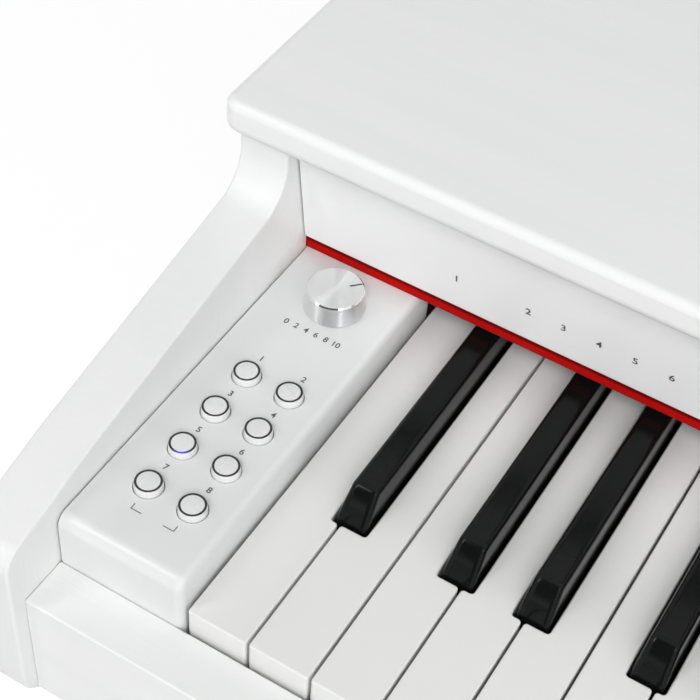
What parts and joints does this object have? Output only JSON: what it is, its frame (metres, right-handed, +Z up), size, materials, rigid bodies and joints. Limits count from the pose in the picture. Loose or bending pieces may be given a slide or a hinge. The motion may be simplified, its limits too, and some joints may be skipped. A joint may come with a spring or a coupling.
{
  "type": "digital piano on stand",
  "caption": "Upright-cabinet digital piano on its own board stand: full keyboard, control block with knob and buttons, three pedals and a folding music rest.",
  "frame": {"origin": "on the floor, under the middle of the whole piano", "axes": "+X along the keys towards the treble end, +Y from the player to the back, +Z up"},
  "size_m": [1.3746, 0.43, 0.9975],
  "materials": {
    "white_board": "white foil on board with a faint grain, satin",
    "rest_board": "white lacquered board, satin",
    "panel_plastic": "fine textured white plastic",
    "red_felt": "pressed wool felt",
    "grey_felt": "pressed wool felt",
    "white_key": "satin gloss key covering",
    "black_key": "satin black key covering",
    "button_plastic": "translucent white cap with a dark ring",
    "spun_aluminium": "spun top and polished side",
    "black_rubber": "matt",
    "frame_plastic": "moulded, plain",
    "bare_steel": "bright zinc plate",
    "black_steel": "black powder coat",
    "pedal_metal": "polished",
    "circuit_board": "green solder mask",
    "black_plastic": "moulded, plain"
  },
  "bodies": {
    "cabinet": {"left_side_panel": "white_board", "right_side_panel": "white_board", "top_board": "white_board", "fascia_panel": "white_board", "felt_strip": "red_felt", "key_bed": "white_board", "key_slip": "white_board", "upper_back_panel": "white_board", "lower_back_panel": "white_board", "feet": "white_board", "floor_glides": "black_rubber", "key_frame": "frame_plastic", "key_pivot_rod": "bare_steel", "key_spring_comb": "bare_steel", "key_contact_board": "circuit_board", "key_contact_rubber": "black_rubber", "key_stop_felt": "grey_felt", "left_key_block": "panel_plastic", "right_key_block": "panel_plastic", "volume_encoder": "black_plastic", "panel_circuit_boards": "circuit_board", "main_circuit_board": "circuit_board", "speakers": "black_plastic", "speaker_grilles": "black_plastic", "connector_panel": "black_plastic", "pedal_rail": "white_board", "pedal_box": "black_steel", "pedal_pivot_rod": "bare_steel", "pedal_springs": "bare_steel", "pedal_rail_adjuster": "black_rubber", "music_rest_hinges": "bare_steel", "corner_brackets": "bare_steel", "cabinet_screws": "bare_steel"},
    "keys_C": {"keys_C": "white_key"},
    "keys_C_sharp": {"keys_C_sharp": "black_key"},
    "keys_D": {"keys_D": "white_key"},
    "keys_D_sharp": {"keys_D_sharp": "black_key"},
    "keys_E": {"keys_E": "white_key"},
    "keys_F": {"keys_F": "white_key"},
    "keys_F_sharp": {"keys_F_sharp": "black_key"},
    "keys_G": {"keys_G": "white_key"},
    "keys_G_sharp": {"keys_G_sharp": "black_key"},
    "keys_A": {"keys_A": "white_key"},
    "keys_A_sharp": {"keys_A_sharp": "black_key"},
    "keys_B": {"keys_B": "white_key"},
    "button_1": {"button_1": "button_plastic"},
    "button_2": {"button_2": "button_plastic"},
    "button_3": {"button_3": "button_plastic"},
    "button_4": {"button_4": "button_plastic"},
    "button_5": {"button_5": "button_plastic"},
    "button_6": {"button_6": "button_plastic"},
    "button_7": {"button_7": "button_plastic"},
    "button_8": {"button_8": "button_plastic"},
    "power_button": {"power_button": "button_plastic"},
    "volume_knob": {"volume_knob": "spun_aluminium"},
    "soft_pedal": {"soft_pedal": "pedal_metal"},
    "sostenuto_pedal": {"sostenuto_pedal": "pedal_metal"},
    "sustain_pedal": {"sustain_pedal": "pedal_metal"},
    "music_rest": {"music_rest": "rest_board"},
    "music_rest_prop": {"music_rest_prop": "bare_steel"}
  },
  "joints": [
    {"name": "keys_C_press", "type": "hinge", "parent": "cabinet", "child": "keys_C", "pos_m": [0, 0.026, 0.732], "axis": [1, 0, 0], "range_deg": [0, 2.7], "stiffness_Nm_per_rad": 3, "springref_deg": -22.92},
    {"name": "keys_C_sharp_press", "type": "hinge", "parent": "cabinet", "child": "keys_C_sharp", "pos_m": [0, 0.026, 0.732], "axis": [1, 0, 0], "range_deg": [0, 2.7], "stiffness_Nm_per_rad": 3, "springref_deg": -22.92},
    {"name": "keys_D_press", "type": "hinge", "parent": "cabinet", "child": "keys_D", "pos_m": [0, 0.026, 0.732], "axis": [1, 0, 0], "range_deg": [0, 2.7], "stiffness_Nm_per_rad": 3, "springref_deg": -22.92},
    {"name": "keys_D_sharp_press", "type": "hinge", "parent": "cabinet", "child": "keys_D_sharp", "pos_m": [0, 0.026, 0.732], "axis": [1, 0, 0], "range_deg": [0, 2.7], "stiffness_Nm_per_rad": 3, "springref_deg": -22.92},
    {"name": "keys_E_press", "type": "hinge", "parent": "cabinet", "child": "keys_E", "pos_m": [0, 0.026, 0.732], "axis": [1, 0, 0], "range_deg": [0, 2.7], "stiffness_Nm_per_rad": 3, "springref_deg": -22.92},
    {"name": "keys_F_press", "type": "hinge", "parent": "cabinet", "child": "keys_F", "pos_m": [0, 0.026, 0.732], "axis": [1, 0, 0], "range_deg": [0, 2.7], "stiffness_Nm_per_rad": 3, "springref_deg": -22.92},
    {"name": "keys_F_sharp_press", "type": "hinge", "parent": "cabinet", "child": "keys_F_sharp", "pos_m": [0, 0.026, 0.732], "axis": [1, 0, 0], "range_deg": [0, 2.7], "stiffness_Nm_per_rad": 3, "springref_deg": -22.92},
    {"name": "keys_G_press", "type": "hinge", "parent": "cabinet", "child": "keys_G", "pos_m": [0, 0.026, 0.732], "axis": [1, 0, 0], "range_deg": [0, 2.7], "stiffness_Nm_per_rad": 3, "springref_deg": -22.92},
    {"name": "keys_G_sharp_press", "type": "hinge", "parent": "cabinet", "child": "keys_G_sharp", "pos_m": [0, 0.026, 0.732], "axis": [1, 0, 0], "range_deg": [0, 2.7], "stiffness_Nm_per_rad": 3, "springref_deg": -22.92},
    {"name": "keys_A_press", "type": "hinge", "parent": "cabinet", "child": "keys_A", "pos_m": [0, 0.026, 0.732], "axis": [1, 0, 0], "range_deg": [0, 2.7], "stiffness_Nm_per_rad": 3, "springref_deg": -22.92},
    {"name": "keys_A_sharp_press", "type": "hinge", "parent": "cabinet", "child": "keys_A_sharp", "pos_m": [0, 0.026, 0.732], "axis": [1, 0, 0], "range_deg": [0, 2.7], "stiffness_Nm_per_rad": 3, "springref_deg": -22.92},
    {"name": "keys_B_press", "type": "hinge", "parent": "cabinet", "child": "keys_B", "pos_m": [0, 0.026, 0.732], "axis": [1, 0, 0], "range_deg": [0, 2.7], "stiffness_Nm_per_rad": 3, "springref_deg": -22.92},
    {"name": "button_1_press", "type": "slide", "parent": "cabinet", "child": "button_1", "axis": [0, 0, -1], "range_m": [0, 0.0015], "stiffness_N_per_m": 300, "springref_m": -0.002},
    {"name": "button_2_press", "type": "slide", "parent": "cabinet", "child": "button_2", "axis": [0, 0, -1], "range_m": [0, 0.0015], "stiffness_N_per_m": 300, "springref_m": -0.002},
    {"name": "button_3_press", "type": "slide", "parent": "cabinet", "child": "button_3", "axis": [0, 0, -1], "range_m": [0, 0.0015], "stiffness_N_per_m": 300, "springref_m": -0.002},
    {"name": "button_4_press", "type": "slide", "parent": "cabinet", "child": "button_4", "axis": [0, 0, -1], "range_m": [0, 0.0015], "stiffness_N_per_m": 300, "springref_m": -0.002},
    {"name": "button_5_press", "type": "slide", "parent": "cabinet", "child": "button_5", "axis": [0, 0, -1], "range_m": [0, 0.0015], "stiffness_N_per_m": 300, "springref_m": -0.002},
    {"name": "button_6_press", "type": "slide", "parent": "cabinet", "child": "button_6", "axis": [0, 0, -1], "range_m": [0, 0.0015], "stiffness_N_per_m": 300, "springref_m": -0.002},
    {"name": "button_7_press", "type": "slide", "parent": "cabinet", "child": "button_7", "axis": [0, 0, -1], "range_m": [0, 0.0015], "stiffness_N_per_m": 300, "springref_m": -0.002},
    {"name": "button_8_press", "type": "slide", "parent": "cabinet", "child": "button_8", "axis": [0, 0, -1], "range_m": [0, 0.0015], "stiffness_N_per_m": 300, "springref_m": -0.002},
    {"name": "power_button_press", "type": "slide", "parent": "cabinet", "child": "power_button", "axis": [0, 0, -1], "range_m": [0, 0.0015], "stiffness_N_per_m": 300, "springref_m": -0.002},
    {"name": "volume_knob_turn", "type": "hinge", "parent": "cabinet", "child": "volume_knob", "pos_m": [-0.6358, -0.0574, 0.75505], "axis": [0, 0, 1], "range_deg": [-106, 194]},
    {"name": "soft_pedal_press", "type": "hinge", "parent": "cabinet", "child": "soft_pedal", "pos_m": [0, 0.08, 0.0705], "axis": [1, 0, 0], "range_deg": [0, 6], "stiffness_Nm_per_rad": 10, "springref_deg": -17.19},
    {"name": "sostenuto_pedal_press", "type": "hinge", "parent": "cabinet", "child": "sostenuto_pedal", "pos_m": [0, 0.08, 0.0705], "axis": [1, 0, 0], "range_deg": [0, 6], "stiffness_Nm_per_rad": 10, "springref_deg": -17.19},
    {"name": "sustain_pedal_press", "type": "hinge", "parent": "cabinet", "child": "sustain_pedal", "pos_m": [0, 0.08, 0.0705], "axis": [1, 0, 0], "range_deg": [0, 6], "stiffness_Nm_per_rad": 10, "springref_deg": -17.19},
    {"name": "music_rest_fold", "type": "hinge", "parent": "cabinet", "child": "music_rest", "pos_m": [0, 0.03, 0.835], "axis": [1, 0, 0], "range_deg": [-70, 0]},
    {"name": "music_rest_prop_fold", "type": "hinge", "parent": "music_rest", "child": "music_rest_prop", "pos_m": [0, 0.05428, 0.89001], "axis": [1, 0, 0], "range_deg": [0, 120.7]}
  ],
  "couplings": [
    {"joint": "music_rest_prop_fold", "follows": "music_rest_fold", "ratio": -1.7226}
  ]
}
